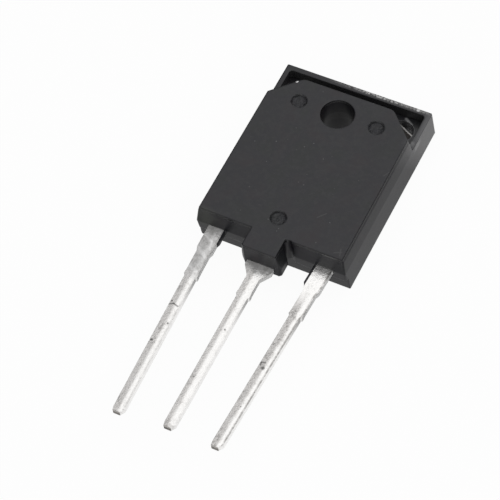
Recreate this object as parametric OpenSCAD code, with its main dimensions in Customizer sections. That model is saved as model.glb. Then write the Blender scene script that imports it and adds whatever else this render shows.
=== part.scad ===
// Power transistor in a fully moulded flat package with three leads in a row.
// It lies on its back: the back face is at z = 0, the raised face looks up,
// the leads point along -Y, and the screw hole's axis is the Z axis.

/* [Case] */
// Width of the back face
back_w = 15.2; // [14.4:0.05:17]
// Thickness from the back face to the raised face
case_t = 5; // [4.7:0.1:6]
// Distance from the screw hole's axis to the top edge of the back face
hole_to_top = 4.9; // [4.6:0.05:6]
// Distance from the screw hole's axis to the lead end of the back face
hole_to_end = 13.95; // [13:0.05:17]
// Height of the line where the mould parts, which is also the top of the leads
parting_z = 3; // [2.8:0.05:3.2]
// Inward lean of the side walls below the parting line, in degrees
wall_lean = 2; // [0:0.5:4]
// Inward lean of the side walls above the parting line, in degrees
upper_lean = 7.5; // [2:0.5:12]
// Depth of the steeper band that borders the raised face
band_h = 0.52; // [0.2:0.02:0.8]
// Inward lean of that band, in degrees
band_lean = 15.5; // [8:0.5:25]
// Size of the 45 degree cuts on the case's two top corners
top_corner_cut = 0.1; // [0.05:0.05:0.4]
// Size of the 45 degree cuts on the two lead end corners
end_corner_cut = 0.06; // [0.04:0.02:0.5]

/* [Lead end] */
// How far the skirt under the parting line stands out from the back half
skirt_out = 0.35; // [0.1:0.05:0.6]
// Height of the skirt's lower edge
skirt_z = 1.85; // [1.6:0.05:2.3]
// Lean of the lead end above the parting line, in degrees
end_lean = 7.4; // [3:0.2:12]
// Lean of the lead end below the parting line, in degrees
end_back_lean = 3.4; // [0:0.2:5]

/* [Raised face, moat and rim] */
// Distance from the screw hole's axis to the top edge of the raised face
face_to_top = 2.44; // [2.2:0.02:2.8]
// Size of the 45 degree cuts on the raised face's top corners
face_cut = 2.55; // [1.5:0.05:3.5]
// Radius where each cut meets the top edge of the raised face
face_corner_r = 1; // [0.4:0.1:1.6]
// Lean of the raised face's walls in the moat, in degrees
moat_lean = 11; // [4:0.5:14]
// Height of the rim's top above the back face
rim_z = 3.2; // [2.9:0.05:3.6]
// Thickness of the rim at its top
rim_t = 0.52; // [0.4:0.02:0.8]
// Lean of the top end's outer wall, in degrees
top_lean = 5; // [1:0.5:8]
// Height of the moat's floor above the back face
moat_z = 2; // [1.7:0.1:2.4]
// Radius of the moat's outer corners
moat_corner_r = 0.3; // [0.1:0.05:0.6]
// Diameter of the round well that the mould's pin leaves in each corner of the moat
pin_hole_d = 2.3; // [2:0.1:2.8]
// Distance of those wells from the middle
pin_hole_x = 5.26; // [5:0.02:5.6]
// Distance of those wells from the screw hole's axis towards the top edge
pin_hole_y = 2.49; // [2.2:0.01:2.7]
// Height of those wells' floor above the back face
pin_hole_z = 0.9; // [0.75:0.05:1.2]

/* [Screw hole and ejector marks] */
// Diameter of the screw hole, a clearance hole for M3
hole_d = 3.2; // [3:0.05:3.6]
// Diameter of each ejector mark
mark_d = 1.5; // [1:0.1:2]
// Depth of each ejector mark
mark_h = 0.12; // [0.05:0.01:0.3]
// Distance of the two upper marks from the middle
mark_x = 3.95; // [3:0.05:5]
// Distance of the lower mark from the screw hole's axis
mark_y = 12.43; // [10:0.01:13]

/* [Centre tab] */
// Width of the tab at the raised face
tab_w = 3.36; // [2.8:0.02:4.4]
// Reach of the tab past the case at the parting line
tab_out = 1.95; // [1.2:0.05:3]
// Offset of the tab to the left of the middle
tab_shift = 0.1; // [0:0.05:0.3]
// Height of the tab's underside
tab_z = 2.1; // [1.9:0.05:2.3]
// Lean of the tab's sides, in degrees
tab_lean = 12; // [4:1:16]
// Lean of the tab's end, in degrees
tab_end_lean = 3; // [0:0.5:8]
// Cut on the tab's left corner
tab_cut_l = 0.65; // [0.2:0.05:0.9]
// Cut on the tab's right corner
tab_cut_r = 0.2; // [0.1:0.05:0.9]
// Radius of the upright groove beside the tab
groove_r = 0.42; // [0.2:0.02:0.6]
// How far that groove bites into the edge of the raised face
groove_bite = 0.06; // [0:0.02:0.3]

/* [Leads] */
// Distance between neighbouring leads at the case
pitch = 5.45; // [5.2:0.01:5.7]
// Thickness of the leads
lead_t = 0.6; // [0.45:0.05:0.7]
// Width of the leads along their length
lead_w = 1.05; // [0.8:0.05:1.3]
// Width of the outer leads where they leave the case
root_w = 1.55; // [1.4:0.05:2.1]
// Width of all leads between their roots and the cut tie bar
mid_w = 1.26; // [1.1:0.02:1.4]
// Width of the centre lead where it leaves the tab
centre_root_w = 2.64; // [2:0.02:2.9]
// Length of the base lead from the case at the parting line
base_len = 20.4; // [14:0.1:24]
// Length of the centre lead from the case at the parting line
centre_len = 19.95; // [14:0.05:24]
// Length of the emitter lead from the case at the parting line
emitter_len = 20; // [14:0.1:24]
// Length of the wide root of the outer leads
root_len = 2.5; // [1.5:0.1:4]
// Length of the shoulder below that root
shoulder_len = 0.4; // [0.2:0.05:0.6]
// Length of the centre lead's wide root outside the tab
centre_root_len = 0.5; // [0.2:0.05:0.8]
// Length of the centre lead's taper
centre_taper_len = 1; // [0.6:0.1:1.8]
// Distance from the case to the place where the tie bar was cut off
bar_at = 5.1; // [4.9:0.05:7]
// Width of the tie bar that was cut off
bar_w = 0.4; // [0.3:0.05:0.8]
// How far the stubs of the tie bar stand out from the leads
bar_stub = 0.03; // [0.02:0.01:0.15]
// How far the base lead's tip is bent towards the middle
base_toe = 0.66; // [0:0.02:0.9]
// How far the emitter lead's tip is bent towards the middle
emitter_toe = 0.8; // [0:0.02:0.9]
// Length of the tapered point on each lead
point_len = 0.45; // [0.2:0.05:0.8]
// Width of each lead's blunt end
point_w = 0.64; // [0.4:0.02:0.8]
// How far the blunt ends lie to the left of the leads' middle lines
point_shift = 0.12; // [0:0.01:0.12]

/* [Resin fins beside the leads] */
// Thickness of the fin beside the left lead
fin_t_l = 0.13; // [0.08:0.01:0.3]
// Thickness of the fin beside the right lead
fin_t_r = 0.2; // [0.08:0.01:0.3]
// Length of the fin beside the left lead
fin_len_l = 1.6; // [0.8:0.1:2.4]
// Length of the fin beside the right lead
fin_len_r = 2.4; // [0.8:0.1:2.4]
// Length of the point that each fin runs out in
fin_point = 0.35; // [0.1:0.05:0.7]

/* [Header and bonding posts] */
// Thickness of the header
header_t = 1.4; // [1:0.1:1.5]
// Thickness of the header's two ears, which the mould's pins hold down
ear_t = 0.7; // [0.5:0.05:0.8]
// Width of the ears
ear_w = 2.7; // [2.2:0.1:2.9]
// How far each ear reaches past the middle of its pin's well
ear_reach = 0.68; // [0.4:0.02:1]
// Turn of the ears away from the long axis, in degrees
ear_turn = 26; // [15:1:45]
// Thickness of the resin under the header
under_t = 0.7; // [0.5:0.05:0.9]
// Width of the header
header_w = 12.4; // [10:0.1:13]
// Distance of the header's lower edge from the case's lead end
header_gap = 1.9; // [1.5:0.1:3]
// Resin between the header's top edge and the raised face's top edge
header_top_gap = 0.9; // [0.6:0.1:2]
// Resin between the screw hole and the header
hole_wall = 0.85; // [0.6:0.05:1.2]
// Length of the bonding posts inside the case
post_len = 1.35; // [1:0.05:1.4]
// Width of the bonding posts
post_w = 2.6; // [2:0.1:3]

/* [Chip and bond wires] */
// Side of the square chip
die_w = 4.6; // [3:0.1:6]
// Thickness of the chip
die_t = 0.25; // [0.15:0.01:0.4]
// Thickness of the solder under the chip
solder_t = 0.06; // [0.04:0.01:0.1]
// Distance from the screw hole's axis to the middle of the chip
die_to_hole = 7; // [5.5:0.1:8]
// Diameter of the base lead's bond wire
base_wire_d = 0.25; // [0.15:0.01:0.3]
// Diameter of the emitter lead's bond wires
emitter_wire_d = 0.38; // [0.25:0.01:0.45]
// Distance between the two emitter wires
wire_pitch = 0.9; // [0.7:0.05:1.2]
// Height of each wire's loop above its ends
loop_h = 0.9; // [0.6:0.05:1.1]

/* [Hidden] */
$fn = 64;

// Room left past a solid where another one cuts it
past = 1;
well_past = 0.05;
// Side of blanks that only have to be larger than the part
big = 60;

// The case's section across the leads: half widths at the heights where the wall turns
band_z = case_t - band_h;
half_back = back_w / 2;
half_parting = half_back - parting_z * tan(wall_lean);
half_band = half_parting - (band_z - parting_z) * tan(upper_lean);
half_face = half_band - band_h * tan(band_lean);

// The lead end, from the back face up
end_back_y = -hole_to_end;
end_step_y = end_back_y - skirt_z * tan(end_back_lean);
end_skirt_y = end_step_y - skirt_out;
end_parting_y = end_skirt_y - (parting_z - skirt_z) * tan(end_back_lean);
end_face_y = end_parting_y + (case_t - parting_z) * tan(end_lean);

// The rim at the top end and the moat inside it
rim_top_y = hole_to_top - rim_z * tan(top_lean);
half_rim = half_back - rim_z * tan(wall_lean);
moat_half_w = half_rim - rim_t;
moat_top_y = rim_top_y - rim_t;

// Distances of the 45 degree corner cuts from the Z axis, measured square to each cut
end_cut_back = (half_back - end_back_y - end_corner_cut) / sqrt(2);
end_cut_parting = (half_parting - end_parting_y - end_corner_cut) / sqrt(2);
end_cut_face = (half_face - end_face_y - end_corner_cut) / sqrt(2);
top_cut_back = (half_back + hole_to_top - top_corner_cut) / sqrt(2);
top_cut_rim = (half_rim + rim_top_y - top_corner_cut) / sqrt(2);
face_cut_line = (half_face + face_to_top - face_cut) / sqrt(2);

// The tab, with its end at the parting line
tab_end_y = end_parting_y - tab_out;
tab_inner_y = end_step_y + past;
tab_half_face = tab_w / 2;
tab_half_parting = tab_half_face + (case_t - parting_z) * tan(tab_lean);
tab_face_end_y = tab_end_y + (case_t - parting_z) * tan(tab_end_lean);
groove_x = tab_half_face - tab_shift + groove_r;

// The leads' plane and their ends
lead_z = parting_z - lead_t;
post_y = end_parting_y + post_len;
bar_y = end_parting_y - bar_at;
stub_slope = 0.1;

// The header, which keeps clear of the moat, the hole and the bonding posts
header_z = under_t;
header_top_z = header_z + header_t;
header_end_y = end_parting_y + header_gap;
header_face_y = face_to_top - header_top_gap;
header_cut = face_cut;
ear_lap = 0.2;
ear_root = (pin_hole_x + pin_hole_y + ear_w / 2 * (cos(ear_turn) - sin(ear_turn)) - header_w / 2
    - header_face_y + header_cut) / (cos(ear_turn) + sin(ear_turn)) + ear_lap;
notch_w = hole_d + 2 * hole_wall;

// The chip's stack on the header
die_y = -die_to_hole;
die_z = header_top_z + solder_t;
die_top_z = die_z + die_t;

// Where the wires are bonded
bond_inset = 0.7;
bond_post_y = (end_parting_y + post_y) / 2 + 0.1;
base_bond_x = -die_w / 2 + bond_inset;
emitter_bond_x = die_w / 2 - bond_inset - wire_pitch / 2;
bond_die_y = die_y - die_w / 2 + bond_inset;

// A bond foot's length, width and height, as multiples of its wire's diameter
foot_l = 2.4;
foot_w = 1.4;
foot_rise = 0.5;

resin = [0.23, 0.23, 0.24];
tin = [0.78, 0.77, 0.74];
copper = [0.72, 0.45, 0.30];
silicon = [0.35, 0.36, 0.40];
solder = [0.60, 0.61, 0.62];
aluminium = [0.85, 0.85, 0.86];

// A section drawn in X and Z, carried along Y from y0 to y1
module along_y(points, y0, y1) {
    translate([0, y1, 0]) rotate([90, 0, 0]) linear_extrude(y1 - y0) polygon(points);
}

// A section drawn in Y and Z, carried along X between the given limits
module along_x(points, x0, x1) {
    translate([x0, 0, 0]) rotate([90, 0, 90]) linear_extrude(x1 - x0) polygon(points);
}

// The case's section across the leads, up to a given height of at least the parting line's
function side_section(top_z) = let (
    half_top = half_parting - (min(top_z, band_z) - parting_z) * tan(upper_lean)
        - max(top_z - band_z, 0) * tan(band_lean)
) concat(
    [[-half_back, 0], [half_back, 0], [half_parting, parting_z]],
    top_z > band_z ? [[half_band, band_z], [half_top, top_z], [-half_top, top_z], [-half_band, band_z]]
        : [[half_top, top_z], [-half_top, top_z]],
    [[-half_parting, parting_z]]
);

// The lead end's profile up to a given height of at least the parting line's
function end_profile(top_z) = [
    [end_parting_y + (top_z - parting_z) * tan(end_lean), top_z],
    [end_parting_y, parting_z],
    [end_skirt_y, skirt_z],
    [end_step_y, skirt_z],
    [end_back_y, 0]
];

// The solid that a profile of distances and heights leaves on the near side of a wall.
// The wall faces away from the Z axis at the given angle
module within_wall(angle, points) {
    rotate([0, 0, angle - 90]) along_x(concat([[-big, 0]], points, [[-big, case_t]]), -big, big);
}

// The small cuts on the case's four upright corners, as walls that follow the lean of their neighbours
module within_corners(side) {
    intersection() {
        within_wall(side > 0 ? -45 : -135,
            [[end_cut_back, 0], [end_cut_parting, parting_z], [end_cut_face, case_t]]);
        within_wall(side > 0 ? 45 : 135, [[top_cut_back, 0], [top_cut_rim, rim_z], [top_cut_rim, case_t]]);
    }
}

// What a round of radius r takes off a square corner at (x, y) that opens towards (sx, sy)
module corner_waste(x, y, sx, sy, r) {
    difference() {
        translate([min(x, x + sx * r) - (sx > 0 ? past : 0), min(y, y + sy * r) - (sy > 0 ? past : 0)])
            square(r + past);
        translate([x + sx * r, y + sy * r]) circle(r);
        translate([sx > 0 ? x + r : x - r - past - r, y - sy * past - (sy > 0 ? 0 : r)])
            square([r + past, r + past]);
        translate([x - sx * past - (sx > 0 ? 0 : r), sy > 0 ? y + r : y - r - past - r])
            square([r + past, r + past]);
    }
}

// The flange: the case up to the rim's height, open where the moat and the pins' wells are
module flange() {
    difference() {
        intersection() {
            along_y(side_section(rim_z), -big, big);
            along_x(concat(end_profile(rim_z), [[hole_to_top, 0], [rim_top_y, rim_z]]), -big, big);
        }
        translate([0, 0, moat_z]) linear_extrude(case_t) moat_plan();
        for (side = [-1, 1])
            translate([side * pin_hole_x, pin_hole_y, pin_hole_z])
                cylinder(h = moat_z - pin_hole_z + well_past, d = pin_hole_d);
    }
}

// The moat's outer outline: it reaches down past the raised face, which fills the rest
module moat_plan() {
    y0 = face_to_top - face_cut - past;
    difference() {
        translate([-moat_half_w, y0]) square([2 * moat_half_w, moat_top_y - y0]);
        for (side = [-1, 1])
            corner_waste(side * moat_half_w, moat_top_y, -side, -1, moat_corner_r);
    }
}

// The main body under the raised face with sharp corners
module core_blank() {
    drop = case_t * tan(moat_lean);
    intersection() {
        along_y(side_section(case_t), -big, big);
        along_x(concat(end_profile(case_t), [[face_to_top + drop, 0], [face_to_top, case_t]]), -big, big);
        within_wall(45, [[face_cut_line + drop, 0], [face_cut_line, case_t]]);
        within_wall(135, [[face_cut_line + drop, 0], [face_cut_line, case_t]]);
    }
}

// The main body with a round where each 45 degree cut meets the top edge: the sharp corner
// is cut back to the round's chord, and a cone that touches both walls fills it out again
module core() {
    r0 = face_corner_r;
    r1 = face_corner_r + case_t * tan(moat_lean);
    corner_x = face_cut_line * sqrt(2) - face_to_top;
    round_x = corner_x - r0 * tan(22.5);
    round_y = face_to_top - r0;
    chord = round_x * cos(67.5) + round_y * sin(67.5);
    intersection() {
        core_blank();
        within_wall(67.5, [[chord + r1 * cos(22.5), 0], [chord + r0 * cos(22.5), case_t]]);
        within_wall(112.5, [[chord + r1 * cos(22.5), 0], [chord + r0 * cos(22.5), case_t]]);
    }
    for (side = [-1, 1]) intersection() {
        core_blank();
        translate([side * round_x, round_y, 0]) cylinder(h = case_t, r1 = r1, r2 = r0);
    }
}

// The centre tab that carries the middle lead out of the case
module tab() {
    half = tab_half_parting;
    intersection() {
        translate([-tab_shift, 0, 0])
            along_y([[-half, tab_z], [half, tab_z], [half, parting_z], [tab_half_face, case_t],
                [-tab_half_face, case_t], [-half, parting_z]], tab_end_y - past, tab_inner_y);
        along_x([[tab_inner_y, tab_z], [tab_inner_y, case_t], [tab_face_end_y, case_t],
            [tab_end_y, parting_z], [tab_end_y, tab_z]], -big, big);
        translate([-tab_shift, 0, 0]) linear_extrude(case_t)
            polygon([[-half, tab_inner_y], [-half, tab_end_y + tab_cut_l], [-half + tab_cut_l, tab_end_y],
                [half - tab_cut_r, tab_end_y], [half, tab_end_y + tab_cut_r], [half, tab_inner_y]]);
    }
}

// A thin fin of resin along the inner edge of a lead's root; side is -1 for the left lead
module fin(side, t, len, toe, lead_len) {
    reach = min(len, root_len);
    x0 = side * (pitch - root_w / 2);
    slant = side * toe / lead_len;
    translate([0, 0, lead_z]) linear_extrude(lead_t)
        polygon([[x0, end_parting_y + past], [x0, end_parting_y], [x0 - slant * reach, end_parting_y - reach],
            [x0 - side * t - slant * (reach - fin_point), end_parting_y - reach + fin_point],
            [x0 - side * t, end_parting_y], [x0 - side * t, end_parting_y + past]]);
}

module moulded_case() {
    color(resin) difference() {
        union() {
            intersection() {
                union() {
                    flange();
                    core();
                }
                within_corners(-1);
                within_corners(1);
            }
            tab();
            fin(-1, fin_t_l, fin_len_l, base_toe, base_len);
            fin(1, fin_t_r, fin_len_r, emitter_toe, emitter_len);
        }
        translate([0, 0, -past]) cylinder(h = case_t + 2 * past, d = hole_d);
        for (at = [[-mark_x, 0], [mark_x, 0], [0, -mark_y]])
            translate([at[0], at[1], case_t - mark_h]) cylinder(h = mark_h + past, d = mark_d);
        translate([groove_x, end_face_y - groove_r + groove_bite, skirt_z - past])
            cylinder(h = case_t - skirt_z + 2 * past, r = groove_r);
        frame_solid();
        base_lead_solid();
        emitter_lead_solid();
        die_solid();
        solder_solid();
        base_wire_solid();
        emitter_wire_solid(0);
        emitter_wire_solid(1);
    }
}

// Plan of the header: the raised face's outline set in, with a notch round the screw hole
module header_plan() {
    w = header_w / 2;
    difference() {
        polygon([[-w, header_end_y], [w, header_end_y], [w, header_face_y - header_cut],
            [w - header_cut, header_face_y], [header_cut - w, header_face_y],
            [-w, header_face_y - header_cut]]);
        circle(d = notch_w);
        translate([-notch_w / 2, 0]) square([notch_w, face_to_top]);
    }
}

// The two thin ears at the header's top corners, each held down by a pin of the mould
module ear_plan() {
    difference() {
        for (side = [-1, 1]) translate([side * pin_hole_x, pin_hole_y]) rotate(-side * ear_turn)
            translate([-ear_w / 2, -ear_root]) square([ear_w, ear_root + ear_reach]);
        circle(d = notch_w);
    }
}

// Half widths and distances of a lead from the cut tie bar's stubs down to its blunt end,
// which is this much wider on this side
function lead_edge(end_y, more) = [
    [mid_w / 2, bar_y],
    [mid_w / 2 + bar_stub, bar_y - stub_slope],
    [mid_w / 2 + bar_stub, bar_y - bar_w],
    [lead_w / 2, bar_y - bar_w - stub_slope],
    [lead_w / 2, end_y + point_len],
    [point_w / 2 + more, end_y]
];

// The same edge on the other side of the lead, from the blunt end back up
function other_side(edge) = [for (i = [len(edge) - 1:-1:0]) [-edge[i][0], edge[i][1]]];

// The centre lead's free length in plan, from the tab's end to its point
module centre_lead_plan() {
    root_end = tab_end_y - centre_root_len;
    end_y = end_parting_y - centre_len;
    root = [[centre_root_w / 2, tab_end_y + past], [centre_root_w / 2, root_end],
        [mid_w / 2, root_end - centre_taper_len]];
    right = concat(root, lead_edge(end_y, -point_shift));
    left = other_side(concat(root, lead_edge(end_y, point_shift)));
    polygon(concat(right, left));
}

// Header and centre lead in one piece: the lead leaves the header in a raised bend
module frame_solid() {
    root_top = header_top_z;
    root_bottom = header_top_z - lead_t;
    bend_y = end_parting_y + header_gap / 4;
    translate([0, 0, header_z]) linear_extrude(header_t) header_plan();
    translate([0, 0, header_z]) linear_extrude(ear_t) ear_plan();
    along_x([[header_end_y + past, root_bottom], [header_end_y + past, root_top], [header_end_y, root_top],
        [bend_y, parting_z], [tab_end_y + past, parting_z], [tab_end_y + past, lead_z],
        [bend_y - lead_t / 2, lead_z], [header_end_y - lead_t / 2, root_bottom]],
        -centre_root_w / 2, centre_root_w / 2);
    translate([0, 0, lead_z]) linear_extrude(lead_t) centre_lead_plan();
}

module collector_frame() {
    color(copper) frame_solid();
}

// An outer lead in plan; side is -1 for the left lead. Its tip is bent towards the middle
module outer_lead_plan(side, toe, lead_len) {
    root_end = end_parting_y - root_len;
    neck_y = post_y - post_len * 0.7;
    end_y = end_parting_y - lead_len;
    root = [[post_w / 2, post_y], [post_w / 2, neck_y], [root_w / 2, end_parting_y], [root_w / 2, root_end],
        [mid_w / 2, root_end - shoulder_len]];
    right = concat(root, lead_edge(end_y, -point_shift));
    left = other_side(concat(root, lead_edge(end_y, point_shift)));
    polygon([for (at = concat(right, left))
        [side * (pitch - toe * max(end_parting_y - at[1], 0) / lead_len) + at[0], at[1]]]);
}

module base_lead_solid() {
    translate([0, 0, lead_z]) linear_extrude(lead_t) outer_lead_plan(-1, base_toe, base_len);
}

module base_lead() {
    color(tin) base_lead_solid();
}

module emitter_lead_solid() {
    translate([0, 0, lead_z]) linear_extrude(lead_t) outer_lead_plan(1, emitter_toe, emitter_len);
}

module emitter_lead() {
    color(tin) emitter_lead_solid();
}

module solder_solid() {
    translate([-die_w / 2, die_y - die_w / 2, header_top_z]) cube([die_w, die_w, solder_t]);
}

module die_solder() {
    color(solder) solder_solid();
}

module die_solid() {
    translate([-die_w / 2, die_y - die_w / 2, die_z]) cube([die_w, die_w, die_t]);
}

module silicon_die() {
    color(silicon) die_solid();
}

// A round wire bent in one arc from the chip's face at (x0, y0) up and over to a post's face at (x1, y1).
// Each end is pressed flat into a foot on the face that it is bonded to
module wire_solid(x0, y0, x1, y1, d) {
    turn = atan2(y1 - y0, x1 - x0);
    span = norm([x1 - x0, y1 - y0]);
    rise = parting_z - die_top_z;
    chord = norm([span, rise]);
    radius = (chord * chord / 4 + loop_h * loop_h) / (2 * loop_h);
    half_angle = asin(chord / 2 / radius);
    run_out = 2 * d / radius * 180 / PI;
    foot_h = foot_rise * d;
    difference() {
        translate([x0, y0, die_top_z + foot_h / 2]) rotate([0, 0, turn]) rotate([0, -atan2(rise, span), 0])
            translate([chord / 2, 0, loop_h - radius]) rotate([90, 0, 0])
                rotate([0, 0, 90 - half_angle - run_out])
                    rotate_extrude(angle = 2 * (half_angle + run_out)) translate([radius, 0]) circle(d = d);
        translate([x0 - past, y0 - past, die_top_z - 2 * past]) cube(2 * past);
        translate([x1 - past, y1 - past, parting_z - 2 * past]) cube(2 * past);
    }
    for (at = [[x0, y0, die_top_z], [x1, y1, parting_z]])
        translate(at) rotate([0, 0, turn]) translate([-foot_l * d / 2, -foot_w * d / 2, 0])
            cube([foot_l * d, foot_w * d, foot_h]);
}

module base_wire_solid() {
    wire_solid(base_bond_x, bond_die_y, -pitch, bond_post_y, base_wire_d);
}

module base_wire() {
    color(aluminium) base_wire_solid();
}

// The two emitter wires lie side by side; i is 0 or 1
module emitter_wire_solid(i) {
    off = (i - 0.5) * wire_pitch;
    wire_solid(emitter_bond_x + off, bond_die_y, pitch + off, bond_post_y, emitter_wire_d);
}

module emitter_wire_1() {
    color(aluminium) emitter_wire_solid(0);
}

module emitter_wire_2() {
    color(aluminium) emitter_wire_solid(1);
}

moulded_case();
collector_frame();
base_lead();
emitter_lead();
silicon_die();
die_solder();
base_wire();
emitter_wire_1();
emitter_wire_2();
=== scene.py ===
from math import cos, radians, sin
from types import SimpleNamespace
from typing import NamedTuple

import bpy
from mathutils import Matrix, Vector


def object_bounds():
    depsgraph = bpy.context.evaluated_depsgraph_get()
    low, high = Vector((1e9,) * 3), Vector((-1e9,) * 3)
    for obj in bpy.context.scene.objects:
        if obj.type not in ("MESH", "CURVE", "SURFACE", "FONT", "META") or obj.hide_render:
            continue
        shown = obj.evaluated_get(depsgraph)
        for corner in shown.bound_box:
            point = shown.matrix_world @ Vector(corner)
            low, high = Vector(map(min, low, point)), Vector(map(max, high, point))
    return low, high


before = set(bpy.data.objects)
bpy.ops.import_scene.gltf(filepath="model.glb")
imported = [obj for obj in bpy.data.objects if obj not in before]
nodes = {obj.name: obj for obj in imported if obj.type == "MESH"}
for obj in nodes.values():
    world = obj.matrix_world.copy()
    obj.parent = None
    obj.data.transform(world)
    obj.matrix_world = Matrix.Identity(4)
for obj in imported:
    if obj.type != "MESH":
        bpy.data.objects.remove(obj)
cad_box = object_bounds()

# Places on the object, in metres. The screw hole's axis is x = y = 0, and the back face is z = 0.
SIDE_X, TOP_Y, FACE_Z = cad_box[1]
PARTING_Z = 0.0030  # also the top of the leads
RIM_Z = 0.0032
MOAT_Z = 0.0020
WELL_Z = 0.0009
SKIRT_Y = -0.01448
HOLE_R = 0.0016
MARKS = ((-0.00395, 0.0), (0.00395, 0.0), (0.0, -0.01243))
WELL_X, WELL_Y = 0.00526, 0.00249
EAR_TURN = radians(26)
PITCH = 0.00545
TIE_BAR_Y = -0.0200  # the leads' small step, on the tip's side of the cut

# Radii between which a look fades out, inner one first
MARK_FLOOR = (0.00058, 0.00078)
MARK_WHOLE = (0.00095, 0.00110)
WELL_EDGE = (0.00121, 0.00124)

# Distances from a lead's middle where its painted dark edge reflection begins, is full, starts to fade and
# ends
EDGE_LINE_SPAN = (0.00033, 0.00043, 0.00052, 0.00060)

# Single worn places and painted highlights: x and y, and for a scratch or a highlight line the x and y of
# both ends and its half width
FACE_SCRATCHES = ((0.0062, -0.0138, 0.0068, -0.0135, 0.00009), (0.0032, -0.0110, 0.0038, -0.0103, 0.00007),
                  (0.0068, -0.0046, 0.0071, -0.0040, 0.00007), (0.0066, -0.0132, 0.0068, -0.0139, 0.00008))
WELL_HIGHLIGHT = (0.0051, 0.0039, 0.0058, 0.00348, 0.00020)
FLASH_CRUMB = (0.00611, 0.00450)
FACE_EDGE_GLINT = (-0.00512, 0.00197)
SIDE_WALL_HIGHLIGHT = (0.00735, 0.0010)

# Radii over which the shading rounds the edges
RESIN_EDGE = 0.00022
TIN_EDGE = 0.00002


# Node helpers
class Graph:
    """Adds nodes to an empty node tree and joins them up."""

    def __init__(self, tree):
        self.tree = tree
        tree.nodes.clear()

    def put(self, sock, v):
        """Join a socket up or set its own value. A colour is given as three numbers."""
        if isinstance(v, bpy.types.NodeSocket):
            self.tree.links.new(v, sock)
        elif sock.type == "RGBA":
            sock.default_value = (*v, 1.0)
        else:
            sock.default_value = v

    def add(self, kind, settings=None, **inputs):
        """Add a node. An underscore in an input's name stands for a space."""
        n = self.tree.nodes.new(kind)
        for k, v in (settings or {}).items():
            setattr(n, k, v)
        for k, v in inputs.items():
            self.put(n.inputs[k.replace("_", " ")], v)
        return n

    def place(self):
        """The shaded point in the object's own coordinates, and its x, y and z."""
        pos = self.add("ShaderNodeTexCoord").outputs["Object"]
        x, y, z = self.add("ShaderNodeSeparateXYZ", Vector=pos).outputs
        return SimpleNamespace(pos=pos, x=x, y=y, z=z)

    def math(self, op, a, b=0.0, c=0.0, clamp=False):
        n = self.add("ShaderNodeMath", {"operation": op, "use_clamp": clamp})
        for sock, v in zip(n.inputs, (a, b, c)):
            self.put(sock, v)
        return n.outputs[0]

    def all_of(self, first, *masks):
        """Masks multiplied together."""
        for mask in masks:
            first = self.math("MULTIPLY", first, mask)
        return first

    def any_of(self, first, *masks):
        """The highest of several masks."""
        for mask in masks:
            first = self.math("MAXIMUM", first, mask)
        return first

    def fade(self, value, zero, one):
        """0 at and past one value, 1 at and past another, straight between."""
        return self.add("ShaderNodeMapRange", Value=value, From_Min=zero, From_Max=one).outputs[0]

    def between(self, value, low_zero, low_one, high_one, high_zero):
        """1 in a span of values, falling to 0 past both of its ends."""
        return self.all_of(self.fade(value, low_zero, low_one), self.fade(value, high_zero, high_one))

    def ramp(self, value, stops):
        n = self.add("ShaderNodeValToRGB", Fac=value)
        points = n.color_ramp.elements
        while len(points) < len(stops):
            points.new(0.5)
        for point, (at, colour) in zip(points, stops):
            point.position = at
            point.color = (*colour, 1.0)
        return n.outputs[0]

    def grey(self, value, stops):
        return self.ramp(value, [(at, (v, v, v)) for at, v in stops])

    def mix(self, fac, a, b):
        """Two colours mixed. The mix node's colour sockets are its seventh and eighth."""
        n = self.add("ShaderNodeMix", {"data_type": "RGBA"})
        for i, v in ((0, fac), (6, a), (7, b)):
            self.put(n.inputs[i], v)
        return n.outputs[2]

    def blend(self, fac, a, b):
        """Two shaders mixed."""
        n = self.add("ShaderNodeMixShader")
        for sock, v in zip(n.inputs, (fac, a, b)):
            self.put(sock, v)
        return n.outputs[0]

    def noise(self, pos, scale, detail=3.0, rough=0.6, distortion=0.0):
        """Fractal noise. The scale is in cells per metre."""
        n = self.add("ShaderNodeTexNoise", Vector=pos, Scale=scale, Detail=detail, Roughness=rough,
                     Distortion=distortion)
        return n.outputs[0]

    def distance_squared(self, at, cx, cy):
        """From a point to the shaded place, as seen from above."""
        dx = self.math("SUBTRACT", at.x, cx)
        dy = self.math("SUBTRACT", at.y, cy)
        return self.math("ADD", self.math("MULTIPLY", dx, dx), self.math("MULTIPLY", dy, dy))

    def near(self, at, cx, cy, inner, outer):
        """1 inside the inner radius round a point, falling to 0 at the outer one."""
        return self.fade(self.math("SQRT", self.distance_squared(at, cx, cy)), outer, inner)

    def scratch(self, at, ax, ay, bx, by, half):
        """1 on a short straight line between two points, falling to 0 at its half width."""
        lx, ly = bx - ax, by - ay
        square = lx * lx + ly * ly
        dx = self.math("SUBTRACT", at.x, ax)
        dy = self.math("SUBTRACT", at.y, ay)
        t = self.math("ADD", self.math("MULTIPLY", dx, lx / square), self.math("MULTIPLY", dy, ly / square),
                      clamp=True)
        ex = self.math("SUBTRACT", dx, self.math("MULTIPLY", t, lx))
        ey = self.math("SUBTRACT", dy, self.math("MULTIPLY", t, ly))
        gap_squared = self.math("ADD", self.math("MULTIPLY", ex, ex), self.math("MULTIPLY", ey, ey))
        return self.fade(self.math("SQRT", gap_squared), half, half * 0.3)


def material(name):
    mat = bpy.data.materials.new(name)
    mat.use_nodes = True
    return mat, Graph(mat.node_tree)


def give(obj, mat):
    if not obj.material_slots:
        obj.data.materials.append(mat)
    for slot in obj.material_slots:
        slot.material = mat


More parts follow.
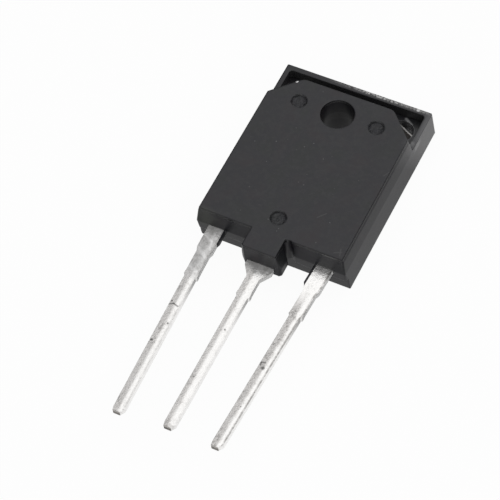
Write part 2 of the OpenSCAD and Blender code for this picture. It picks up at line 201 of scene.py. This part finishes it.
# Resin of the case
def resin_ground(g, at):
    """Near black, with a slow shift of hue and fine, slightly paler grit."""
    hue = g.noise(at.pos, 420.0, 2.0, 0.5, 0.2)
    tint = g.ramp(hue, [(0.32, (0.0072, 0.0084, 0.0092)), (0.5, (0.0072, 0.0070, 0.0112)),
                        (0.68, (0.0108, 0.0076, 0.0108))])
    grit = g.noise(at.pos, 2300.0, 4.0, 0.7)
    return g.mix(g.fade(grit, 0.44, 0.70), tint, (0.0150, 0.0148, 0.0172))


def face_wear(g, at, tint):
    """Tiny light specks and a few small scratches on the raised face."""
    on_face = g.fade(at.z, FACE_Z - 0.0002, FACE_Z - 0.00005)
    cells = g.add("ShaderNodeTexVoronoi", Vector=at.pos, Scale=1100.0)
    speck = g.all_of(g.fade(cells.outputs["Distance"], 0.085, 0.04), on_face, g.fade(at.soft, 0.45, 0.6))
    tint = g.mix(speck, tint, (0.085, 0.085, 0.088))
    worn = g.any_of(*[g.scratch(at, *line) for line in FACE_SCRATCHES])
    return g.mix(g.all_of(worn, on_face), tint, (0.032, 0.032, 0.034))


def rim_flash_and_highlights(g, at, tint):
    """Pale grains of flash along the rim at the top end, partly a painted highlight where its edge catches
    light, a loose crumb, and a painted highlight on the side wall near the top right corner.
    """
    # painted highlight: pale grains along the rim's top end, partly flash and partly light caught by its edge
    strip = g.all_of(g.fade(at.y, TOP_Y - 0.00062, TOP_Y - 0.00042), g.fade(at.x, -0.0032, 0.0012), at.upper,
                     g.fade(at.grain, 0.43, 0.55))
    thick = g.between(at.x, 0.0002, 0.0008, 0.0038, 0.0046)
    tint = g.mix(strip, tint, g.mix(thick, (0.40, 0.395, 0.39), (0.80, 0.79, 0.78)))
    crumb = g.all_of(g.near(at, *FLASH_CRUMB, 0.00012, 0.00022), at.upper)
    tint = g.mix(crumb, tint, (0.85, 0.845, 0.84))
    # painted highlight: a paler patch on the upper side wall near the top right corner
    wall_highlight = g.all_of(g.near(at, *SIDE_WALL_HIGHLIGHT, 0.0002, 0.0011),
                      g.fade(at.z, PARTING_Z - 0.0008, PARTING_Z - 0.0004), g.fade(at.soft, 0.46, 0.58))
    return g.mix(wall_highlight, tint, (0.19, 0.19, 0.19))


def skirt_wear_and_sheen(g, at, tint):
    """Scuffs on the skirt between the base lead and the tab, and a painted greenish sheen on the left corner,
    where it catches light.
    """
    scuffs = g.all_of(g.fade(at.y, SKIRT_Y + 0.00018, SKIRT_Y + 0.00003),
                      g.fade(at.z, PARTING_Z - 0.00004, PARTING_Z - 0.0002),
                      g.between(at.x, -0.0047, -0.0042, -0.0026, -0.0020), g.fade(at.grain, 0.50, 0.64), 0.7)
    tint = g.mix(scuffs, tint, (0.075, 0.073, 0.070))
    # painted sheen: the lead end's left corner paler and greenish, as it catches light
    corner_sheen = g.all_of(g.fade(at.y, SKIRT_Y + 0.00068, SKIRT_Y + 0.00028), g.fade(at.x, -0.0045, -0.0062),
                     g.fade(at.soft, 0.38, 0.62), 0.5)
    return g.mix(corner_sheen, tint, (0.052, 0.056, 0.042))


def rim_end_highlights(g, at, tint):
    """Painted highlights: the side rim is paler at its top right end, where its rounded edge catches light,
    and the top rim is a little paler towards its end.
    """
    # painted highlight on the side rim's top right end
    side = g.all_of(g.fade(at.x, SIDE_X - 0.0009, SIDE_X), g.fade(at.y, -0.0010, 0.0016), at.upper)
    tint = g.mix(side, tint, (0.110, 0.110, 0.114))
    # painted highlight: the top rim a little paler towards its end
    edge = g.all_of(g.fade(at.y, TOP_Y - 0.00085, TOP_Y - 0.0003), g.fade(at.x, -0.0055, 0.0045), at.upper,
                    0.5)
    return g.mix(edge, tint, (0.085, 0.084, 0.084))


def moat_inside(g, at):
    """1 on the resin inside the moat and its two wells, and on the top-end half of the hole's wall."""
    return g.all_of(g.between(at.y, 0.0, 0.0003, 0.0042, 0.0046),
                    g.between(at.z, WELL_Z - 0.0001, WELL_Z, RIM_Z - 0.00006, RIM_Z - 0.00001),
                    g.fade(g.math("ABSOLUTE", at.x), 0.00705, 0.0069))


def moat_painted_light(g, at, inside, tint):
    """Painted fill light: the resin inside the moat is paler, lifting its shade, the walls of the two wells
    paler still, as if lit, and a painted highlight on the right well's crescent edge.
    """
    # painted fill light: paler resin inside the moat, where it lies in shade
    tint = g.mix(g.all_of(inside, g.fade(at.z, MOAT_Z - 0.00001, 0.0023)), tint, (0.034, 0.034, 0.035))
    # painted light: the wells' walls paler, as if lit
    lit_wells = g.any_of(*[g.near(at, side * WELL_X, WELL_Y, *WELL_EDGE) for side in (1, -1)])
    lit_wells = g.all_of(lit_wells, g.between(at.z, WELL_Z - 0.0001, WELL_Z, MOAT_Z - 0.00001, MOAT_Z + 0.00005))
    tint = g.mix(lit_wells, tint, (0.075, 0.075, 0.078))
    # painted highlight along the right well's far edge
    crescent_highlight = g.all_of(g.scratch(at, *WELL_HIGHLIGHT), inside, g.fade(at.z, 0.0023, 0.0021))
    return g.mix(crescent_highlight, tint, (0.24, 0.24, 0.245))


def mark_masks(g, at):
    """The ejector marks: their ragged rough floors, all of each mark, and the walls round them."""
    ragged = SimpleNamespace(x=g.math("ADD", at.x, g.math("MULTIPLY_ADD", at.grain, 0.0007, -0.00035)),
                             y=g.math("ADD", at.y, g.math("MULTIPLY_ADD", at.soft, 0.0003, -0.00015)))
    high = g.fade(at.z, FACE_Z - 0.0003, FACE_Z - 0.00015)
    floor = g.all_of(g.any_of(*[g.near(ragged, *mark, *MARK_FLOOR) for mark in MARKS]), high)
    whole = g.all_of(g.any_of(*[g.near(at, *mark, *MARK_WHOLE) for mark in MARKS]), high)
    wall = g.all_of(whole, g.between(at.z, FACE_Z - 0.000115, FACE_Z - 0.0001, FACE_Z - 0.00004,
                                     FACE_Z - 0.00001))
    return SimpleNamespace(floor=floor, whole=whole, wall=wall, high=high)


def mark_dishes(g, at, marks):
    """A shallow rise from each mark's middle to its border, as a height."""
    curve, reach = 110.0, 0.00082
    dish = 0.0
    for mark in MARKS:
        rise = g.math("MULTIPLY", g.distance_squared(at, *mark), curve)
        dish = g.math("ADD", g.math("MINIMUM", rise, curve * reach ** 2), dish)
    return g.all_of(dish, marks.high)


def resin():
    """Glossy black filled epoxy."""
    mat, g = material("resin")
    at = g.place()
    at.soft = g.noise(at.pos, 350.0)
    at.grain = g.noise(at.pos, 5200.0, rough=0.7)
    at.upper = g.fade(at.z, PARTING_Z - 0.0001, PARTING_Z + 0.0001)  # above the parting line
    inside = moat_inside(g, at)
    marks = mark_masks(g, at)

    tint = resin_ground(g, at)
    tint = face_wear(g, at, tint)
    tint = rim_flash_and_highlights(g, at, tint)
    tint = skirt_wear_and_sheen(g, at, tint)
    tint = rim_end_highlights(g, at, tint)
    tint = moat_painted_light(g, at, inside, tint)
    # painted glint: a white spot on the face's left corner edge
    glint = g.all_of(g.near(at, *FACE_EDGE_GLINT, 0.00012, 0.00018), g.fade(at.z, FACE_Z - 0.0004, FACE_Z - 0.0002))
    tint = g.mix(glint, tint, (0.9, 0.9, 0.9))
    speckled = g.ramp(at.grain, [(0.42, (0.014, 0.014, 0.014)), (0.58, (0.115, 0.115, 0.118))])
    tint = g.mix(marks.wall, tint, speckled)

    # the marks' floors are rougher and pitted, and fine grain covers the whole case
    pits = g.noise(at.pos, 3000.0, distortion=0.4)
    gloss = g.math("MULTIPLY_ADD", at.soft, 0.06, 0.32)
    dull = g.math("MULTIPLY", g.fade(pits, 0.45, 0.55), 0.22)
    rough = g.math("MULTIPLY_ADD", marks.floor, dull, gloss)
    height = g.math("MULTIPLY_ADD", g.noise(at.pos, 9000.0), 0.0000022, mark_dishes(g, at, marks))
    height = g.math("ADD", height, g.all_of(marks.floor, g.math("MULTIPLY", pits, 0.00016)))

    # edges are shaded round, but not inside the moat, and less at the marks; the mix node's vectors are
    # its fifth and sixth sockets
    rounded = g.add("ShaderNodeBevel", {"samples": 8}, Radius=RESIN_EDGE).outputs[0]
    flat = g.add("ShaderNodeNewGeometry").outputs["Normal"]
    sharp = g.any_of(inside, g.math("MULTIPLY", marks.whole, 0.15))
    turned = g.add("ShaderNodeMix", {"data_type": "VECTOR"})
    for i, v in ((0, sharp), (4, rounded), (5, flat)):
        g.put(turned.inputs[i], v)
    bump = g.add("ShaderNodeBump", Strength=1.0, Distance=1.0, Height=height, Normal=turned.outputs[1])
    bsdf = g.add("ShaderNodeBsdfPrincipled", Base_Color=tint, Roughness=rough, IOR=1.5,
                 Normal=bump.outputs[0])
    g.add("ShaderNodeOutputMaterial", Surface=bsdf.outputs[0])
    return mat


# Tin of the leads
class Lead(NamedTuple):
    """What differs from lead to lead. Places and lengths are in metres."""
    material: str
    middle: float  # x of the lead's middle where it leaves the case
    bend: float  # how far along x the tip is bent
    edge_shade: float  # how strong the painted dark reflection along the right edge is
    root_y: tuple  # y where the root's look begins, and where it is full
    widening: tuple  # y where the root begins to widen, y where it is full, and the half width gained
    dull_root: float = 0.0  # how dull the root is
    level_root: float = 0.0  # how far the mottled half and its slope are taken away at the root
    divide: float = 0.0  # x where the two halves meet, from the lead's middle
    light: float = 0.0  # how much brighter the mottled half is
    spots: tuple = ()  # dark spots: x, y and radius
    lines: tuple = ()  # dark scratches: x and y of both ends and half width
    streaks: tuple = ()  # light streaks on the root, given as the scratches are


OUTER_WIDENING = (-0.01738, -0.01698, 0.000145)

COLLECTOR = Lead(
    "tin_collector", 0.0, 0.0, 0.18, (-0.0178, -0.0170), (-0.017928, -0.016928, 0.00069), dull_root=0.8,
    divide=-0.00012, light=0.10,
    spots=((0.00014, -0.02378, 0.00012), (-0.0002, -0.0291, 0.00008)))

BASE = Lead(
    "tin_base", -PITCH, 0.00066, 0.35, (-0.0206, -0.0190), OUTER_WIDENING, dull_root=0.85, light=0.10,
    spots=((-0.00484, -0.02523, 0.00014), (-0.00558, -0.023, 0.00013), (-0.00539, -0.02728, 0.00018)),
    lines=((-0.00566, -0.0234, -0.00533, -0.02319, 0.00011),
           (-0.00533, -0.02319, -0.00483, -0.02332, 0.00011)),
    streaks=((-0.00620, -0.01550, -0.00514, -0.01600, 0.00016),
             (-0.00514, -0.01600, -0.00493, -0.01685, 0.00016),
             (-0.00602, -0.01705, -0.00540, -0.01739, 0.00024),
             (-0.00540, -0.01739, -0.00470, -0.01788, 0.00024),
             (-0.00586, -0.01910, -0.00500, -0.01942, 0.00026)))

EMITTER = Lead(
    "tin_emitter", PITCH, -0.0008, 0.85, (-0.0192, -0.0172), OUTER_WIDENING, level_root=1.0,
    spots=((0.00495, -0.0259, 0.00024), (0.0049, -0.0301, 0.00008)),
    lines=((0.00455, -0.02544, 0.00489, -0.02534, 0.00013), (0.00455, -0.02544, 0.00461, -0.02571, 0.00010)))


def brighter(colour, more):
    """A colour with the same amount added to its red, green and blue."""
    return tuple(c + more for c in colour)


def rolled_halves(g, at, lead):
    """The mottled left half, painted darker as it faces the dimmer side of the sky, the bright right half,
    and the dull root with its light streaks.
    """
    edge = g.math("ADD", at.off, g.math("MULTIPLY_ADD", at.wide, 0.0007, -0.00035))
    left = g.fade(edge, lead.divide + 0.00017, lead.divide - 0.00004)
    left = g.all_of(left, g.math("MULTIPLY_ADD", at.root, -lead.level_root, 1.0))
    # painted shade: the left half's colours are darker than the right half's, as it faces the dimmer sky
    mottled = g.ramp(at.both, [(0.39, brighter((0.54, 0.525, 0.51), lead.light)),
                               (0.46, brighter((0.77, 0.75, 0.732), lead.light)),
                               (0.57, brighter((0.88, 0.86, 0.842), lead.light * 0.5))])
    bright = g.ramp(at.both, [(0.38, (0.77, 0.76, 0.745)), (0.48, (0.895, 0.885, 0.872)),
                              (0.60, (0.925, 0.915, 0.902))])
    col = g.mix(left, bright, mottled)
    dull = g.ramp(at.both, [(0.40, (0.40, 0.395, 0.39)), (0.58, (0.66, 0.655, 0.65))])
    col = g.mix(g.math("MULTIPLY", at.root, lead.dull_root), col, dull)
    for streak in lead.streaks:
        col = g.mix(g.math("MULTIPLY", g.scratch(at, *streak), 0.5), col, (0.90, 0.895, 0.89))
    return col


def edge_reflection_line(g, at, lead, col):
    """The painted dark reflection follows the right edge, where it turns down, and this edge steps out at the
    cut tie bar and again at the root.
    """
    bar_step = 0.000105
    start, full, gain = lead.widening
    wider = g.math("MULTIPLY", g.fade(at.y, TIE_BAR_Y - 0.0001, TIE_BAR_Y + 0.0001), bar_step)
    wider = g.math("MULTIPLY_ADD", g.fade(at.y, start, full), gain, wider)
    on_top = g.fade(at.z, PARTING_Z - 0.00006, PARTING_Z - 0.00001)
    # painted reflection: a dark line along the right edge, where its turn faces the dark horizon
    line = g.all_of(g.between(g.math("SUBTRACT", at.off, wider), *EDGE_LINE_SPAN), on_top,
                    g.fade(at.both, 0.68, 0.46), lead.edge_shade)
    return g.mix(line, col, (0.26, 0.25, 0.24))


def dark_flaws(g, at, lead, col):
    """Dark spots and scratches where the photograph shows them."""
    for cx, cy, radius in lead.spots:
        col = g.mix(g.near(at, cx, cy, radius * 0.4, radius), col, (0.24, 0.235, 0.23))
    for line in lead.lines:
        col = g.mix(g.math("MULTIPLY", g.scratch(at, *line), 0.8), col, (0.20, 0.195, 0.19))
    return col


def cut_end(g, at, end_y, col):
    """The sheared end is dark with a lighter top, and the tin before it is a little dull."""
    sheared = g.ramp(at.both, [(0.42, (0.07, 0.065, 0.06)), (0.54, (0.22, 0.205, 0.19))])
    below_top = g.fade(at.z, PARTING_Z - 0.00006, PARTING_Z - 0.00028)
    col = g.mix(at.cut, col, g.mix(below_top, (0.50, 0.48, 0.46), sheared))
    tip = g.all_of(g.fade(at.y, end_y + 0.00060, end_y + 0.00010), g.fade(at.both, 0.54, 0.46))
    tip = g.math("SUBTRACT", tip, at.cut, clamp=True)
    return g.mix(g.math("MULTIPLY", tip, 0.5), col, (0.38, 0.365, 0.35))


def inner_copper_painted_light(g, at, col):
    """Inside the case the strip is bare copper, painted dark as well for the shade it lies in within the
    wells. The ears' ends get a painted highlight where their edge catches light.
    """
    # bare copper, painted dark as well for the shade in the wells
    col = g.mix(at.bare, col, g.ramp(at.both, [(0.42, (0.030, 0.028, 0.027)), (0.56, (0.062, 0.057, 0.054))]))
    reach = g.math("MULTIPLY", g.math("SUBTRACT", g.math("ABSOLUTE", at.x), WELL_X), sin(EAR_TURN))
    reach = g.math("MULTIPLY_ADD", g.math("SUBTRACT", at.y, WELL_Y), cos(EAR_TURN), reach)
    # painted highlight along the ears' ends
    ear_edge_highlight = g.all_of(g.fade(reach, 0.00050, 0.00058), g.fade(at.y, 0.0015, 0.0018))
    return g.mix(ear_edge_highlight, col, (0.50, 0.49, 0.48))


def tin(node, lead):
    """Tin plating. The rolled strip's left half falls away a little, is mottled and is painted darker as in
    shade, the right half is level and bright, and a painted dark reflection runs along the right edge. The
    cut end is dark, bare and rough."""
    mat, g = material(lead.material)
    at = g.place()
    end_y = min(corner[1] for corner in node.bound_box)
    along = g.math("MAXIMUM", g.math("SUBTRACT", SKIRT_Y, at.y), 0.0)
    middle = g.math("MULTIPLY_ADD", along, lead.bend / (SKIRT_Y - end_y), lead.middle)
    at.off = g.math("SUBTRACT", at.x, middle)
    at.wide = g.noise(at.pos, 900.0, distortion=0.4)
    blot = g.noise(at.pos, 4200.0, 4.0, 0.65, 0.3)
    at.both = g.math("MULTIPLY_ADD", at.wide, 0.4, g.math("MULTIPLY", blot, 0.6))
    at.root = g.fade(at.y, *lead.root_y)
    at.cut = g.fade(at.y, end_y + 0.00008, end_y + 0.00002)
    at.bare = g.fade(at.y, SKIRT_Y + 0.00008, SKIRT_Y + 0.00028)
    plated = g.math("SUBTRACT", 1.0, at.bare)

    col = rolled_halves(g, at, lead)
    col = edge_reflection_line(g, at, lead, col)
    col = dark_flaws(g, at, lead, col)
    col = cut_end(g, at, end_y, col)
    col = inner_copper_painted_light(g, at, col)

    # painted reflection: the side faces near the roots are pale and hardly metallic, to show white as the lit
    # floor beside them would
    lit_flank = g.all_of(g.fade(at.z, PARTING_Z - 0.00003, PARTING_Z - 0.0001),
                     g.fade(at.y, TIE_BAR_Y - 0.0004, TIE_BAR_Y + 0.0010), plated)
    col = g.mix(lit_flank, col, (0.90, 0.895, 0.885))
    metal = g.math("MULTIPLY_ADD", g.all_of(at.root, plated), -0.6 * lead.dull_root, 1.0)
    metal = g.all_of(metal, g.math("MULTIPLY_ADD", lit_flank, -0.75, 1.0))

    # the left half falls away at this slope, less at a level root
    fall = 0.205
    slope = g.math("MULTIPLY_ADD", at.root, fall * lead.level_root, -fall)
    left_of = g.math("SMOOTH_MAX", g.math("SUBTRACT", lead.divide + 0.00006, at.off), 0.0, 0.0002)
    height = g.math("MULTIPLY_ADD", blot, 0.00002, g.all_of(left_of, slope))
    height = g.math("MULTIPLY_ADD", g.noise(at.pos, 12000.0), 0.000005, height)
    rough = g.math("MULTIPLY_ADD", at.both, 0.26, 0.08)
    rough = g.math("MULTIPLY_ADD", g.any_of(at.cut, at.bare), 0.3, rough)
    rounded = g.add("ShaderNodeBevel", {"samples": 8}, Radius=TIN_EDGE).outputs[0]
    bump = g.add("ShaderNodeBump", Strength=1.0, Distance=1.0, Height=height, Normal=rounded)
    bsdf = g.add("ShaderNodeBsdfPrincipled", Base_Color=col, Metallic=metal, Roughness=rough,
                 Normal=bump.outputs[0])
    g.add("ShaderNodeOutputMaterial", Surface=bsdf.outputs[0])
    return mat


# Plain metals of the hidden pieces
def plain_metal(name, colour, rough):
    mat, g = material(name)
    grain = g.noise(g.place().pos, 3000.0)
    col = g.ramp(grain, [(0.3, tuple(c * 0.75 for c in colour)), (0.7, colour)])
    bsdf = g.add("ShaderNodeBsdfPrincipled", Base_Color=col, Metallic=1.0,
                 Roughness=g.math("MULTIPLY_ADD", grain, 0.15, rough))
    g.add("ShaderNodeOutputMaterial", Surface=bsdf.outputs[0])
    return mat


# Materials given to the pieces
give(nodes["moulded_case"], resin())
for name, lead in (("collector_frame", COLLECTOR), ("base_lead", BASE), ("emitter_lead", EMITTER)):
    give(nodes[name], tin(nodes[name], lead))
give(nodes["silicon_die"], plain_metal("die_metal", (0.50, 0.51, 0.54), 0.3))
give(nodes["die_solder"], plain_metal("solder_metal", (0.55, 0.56, 0.57), 0.4))
for name in ("base_wire", "emitter_wire_1", "emitter_wire_2"):
    give(nodes[name], plain_metal(name + "_metal", (0.86, 0.86, 0.88), 0.3))


# Floor
def floor_material():
    """White to the camera. In reflections it is dimmer near the case, as the real floor is in its shade."""
    mat, g = material("floor_white")
    at = g.place()
    path = g.add("ShaderNodeLightPath").outputs
    seen = g.math("ADD", path["Is Camera Ray"], path["Is Transmission Ray"], clamp=True)
    # the tones run over 0.1 m along y, centred on the hole's axis, and over 0.05 m to each side along x
    reach_y, reach_x = 0.1, 0.05
    along = g.math("MULTIPLY_ADD", at.y, 1.0 / reach_y, 0.5)
    across = g.math("MULTIPLY", g.math("ABSOLUTE", at.x), 1.0 / reach_x)
    tone_y = g.grey(along, [(0.10, 1.0), (0.28, 1.0), (0.295, 0.75), (0.31, 0.42), (0.325, 0.28),
                            (0.34, 0.48), (0.355, 0.55), (0.38, 0.55), (0.50, 0.55), (0.53, 1.0),
                            (0.70, 1.0)])
    tone_x = g.grey(across, [(0.0, 0.92), (0.17, 0.96), (0.22, 1.0), (0.30, 0.45), (1.0, 0.45)])
    # painted shade: in reflections the floor under the hole is dimmer
    hole_shade = g.math("MULTIPLY_ADD", g.near(at, 0.0, 0.0, HOLE_R, HOLE_R + 0.0004), -0.48, 1.0)
    diffuse = g.add("ShaderNodeBsdfDiffuse", Color=(0.86, 0.86, 0.86)).outputs[0]
    shade = g.all_of(tone_y, tone_x, hole_shade)
    dim = g.add("ShaderNodeEmission", Color=(1.0, 1.0, 1.0), Strength=shade).outputs[0]
    white = g.add("ShaderNodeEmission", Color=(1.0, 1.0, 1.0), Strength=1.0).outputs[0]
    lit = g.blend(path["Is Glossy Ray"], diffuse, dim)
    g.add("ShaderNodeOutputMaterial", Surface=g.blend(g.math("MULTIPLY", seen, 0.95), lit, white))
    return mat


def make_floor():
    """A flat square just under the back face, so that the two never share a plane."""
    half, z = 1.2, -0.00002
    mesh = bpy.data.meshes.new("studio_floor")
    corners = [(-half, -half, z), (half, -half, z), (half, half, z), (-half, half, z)]
    mesh.from_pydata(corners, [], [(0, 1, 2, 3)])
    obj = bpy.data.objects.new("studio_floor", mesh)
    bpy.context.scene.collection.objects.link(obj)
    obj.data.materials.append(floor_material())


make_floor()


# Light
def make_sky():
    """A soft sky: bright above and to the right, darker to the left, dark near the horizon but for a
    soft glow at both ends of y."""
    sky = bpy.data.worlds.new("studio")
    bpy.context.scene.world = sky
    sky.use_nodes = True
    g = Graph(sky.node_tree)
    ahead = g.add("ShaderNodeTexCoord").outputs["Generated"]
    _, y, z = g.add("ShaderNodeSeparateXYZ", Vector=ahead).outputs
    brightest = (0.505, 0.303, 0.808)
    towards = g.add("ShaderNodeVectorMath", {"operation": "DOT_PRODUCT"})
    g.put(towards.inputs[0], ahead)
    g.put(towards.inputs[1], brightest)
    side = g.grey(towards.outputs["Value"], [(0.0, 0.35), (0.30, 0.55), (0.66, 0.90), (0.90, 1.0),
                                             (1.0, 1.0)])
    lift = g.grey(z, [(0.0, 0.05), (0.38, 0.10), (0.55, 0.60), (0.75, 1.0), (1.0, 1.0)])
    ends = g.grey(g.math("ABSOLUTE", y), [(0.0, 0.0), (0.55, 0.0), (0.88, 0.5), (1.0, 0.5)])
    low = g.grey(z, [(0.0, 1.0), (0.45, 1.0), (0.65, 0.0), (1.0, 0.0)])
    light = g.math("ADD", g.all_of(side, lift), g.all_of(ends, low))
    background = g.add("ShaderNodeBackground", Color=light, Strength=1.25)
    g.add("ShaderNodeOutputWorld", Surface=background.outputs[0])


make_sky()


# Camera
def make_camera():
    """Placed as it was solved from the photograph: where it stands, what it looks at, and its tilt."""
    place = Vector((0.060263, -0.105465, 0.172409))
    target = Vector((-0.0017224, -0.0151691, 0.0025))
    tilt = radians(-9.394)
    data = bpy.data.cameras.new("view")
    data.sensor_width = 36.0
    data.lens = 160.89
    data.clip_start, data.clip_end = 0.01, 10.0
    obj = bpy.data.objects.new("view", data)
    bpy.context.scene.collection.objects.link(obj)
    level = (target - place).to_track_quat("-Z", "Y").to_matrix().to_4x4()
    obj.matrix_world = Matrix.Translation(place) @ level @ Matrix.Rotation(tilt, 4, "Z")
    bpy.context.scene.camera = obj


make_camera()
bpy.context.scene.view_settings.view_transform = "Standard"
